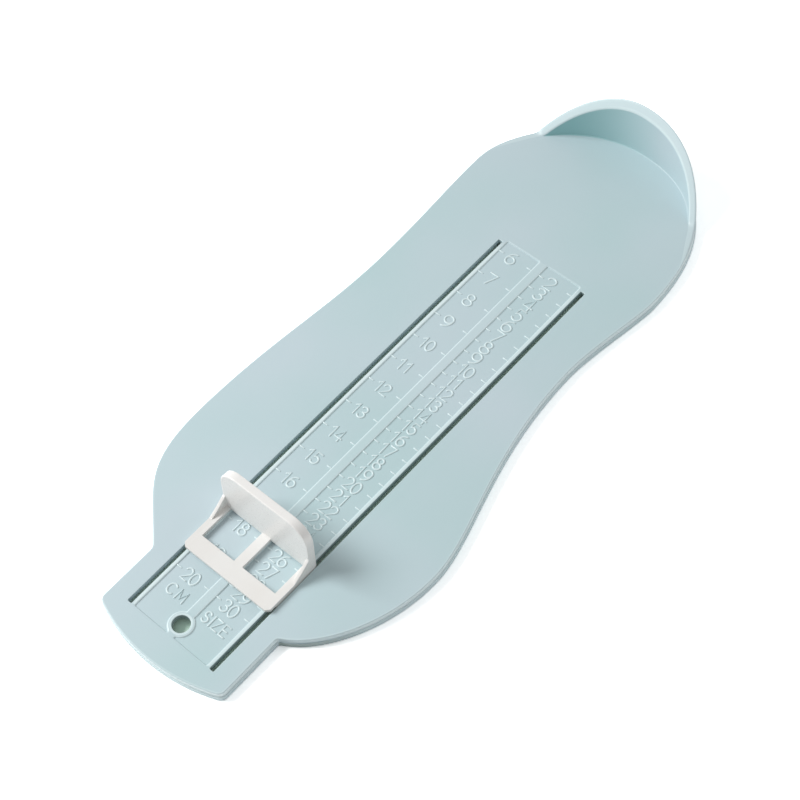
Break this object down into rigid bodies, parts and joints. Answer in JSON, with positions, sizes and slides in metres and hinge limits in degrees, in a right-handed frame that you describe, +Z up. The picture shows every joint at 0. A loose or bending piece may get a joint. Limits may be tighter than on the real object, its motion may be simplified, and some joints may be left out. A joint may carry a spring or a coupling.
{
  "type": "foot measuring device",
  "caption": "Sole-shaped foot gauge with a heel cup, a raised ruler scale between two slots, and a toe stop that slides along them.",
  "frame": {"origin": "centre of the bounding box, on the table that the gauge stands on", "axes": "+Y towards the heel along the scale, +Z up from the table, +X to the right when the scale is read upright"},
  "size_m": [0.0904, 0.225, 0.024],
  "materials": {
    "board_plastic": "moulded, pale blue-green, satin",
    "slider_plastic": "moulded, warm off-white, satin"
  },
  "bodies": {
    "board": {"sole_board": "board_plastic"},
    "slider": {"toe_slider": "slider_plastic"}
  },
  "joints": [
    {"name": "slider_slide", "type": "slide", "parent": "board", "child": "slider", "axis": [0, -1, 0], "range_m": [-0.1186, 0.0245]}
  ]
}
